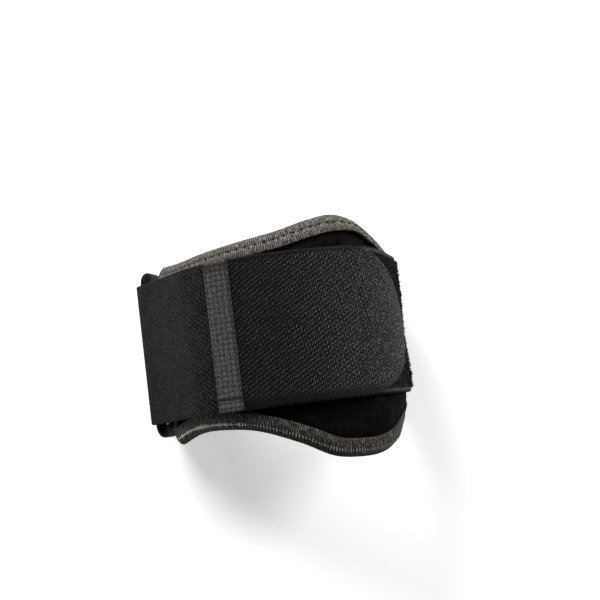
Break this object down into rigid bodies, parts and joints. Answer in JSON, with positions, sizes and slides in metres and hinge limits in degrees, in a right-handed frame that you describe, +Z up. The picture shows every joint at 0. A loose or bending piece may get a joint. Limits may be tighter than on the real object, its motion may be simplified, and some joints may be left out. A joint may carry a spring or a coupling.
{
  "type": "tennis elbow support",
  "caption": "Fastened forearm support band: bound pad with a lobe over the muscle, elastic strap through a ring and back over itself to a hook tab.",
  "frame": {"origin": "on the face where the back of the strap rests, under the centre of the round and at the middle of the strap's width", "axes": "+Z up, from the back that it lies on to the front with the tab; +Y along the forearm, to the top of the picture; +X across, from the ring to the plain side"},
  "size_m": [0.0939, 0.081, 0.0732],
  "materials": {
    "pad": "near-black plush face on soft foam",
    "binding": "heather grey ribbed knit, matt",
    "strap": "charcoal elastic, smooth on one face and loop pile on the other",
    "join_tape": "dark grey fine grid weave",
    "hook_tab": "black coarse weave with grey flecks",
    "ring": "black, moulded, glossy"
  },
  "bodies": {
    "root": {"pad": "pad", "binding": "binding", "strap": "strap", "join_tape": "join_tape", "hook_tab": "hook_tab", "ring": "ring"}
  },
  "joints": []
}
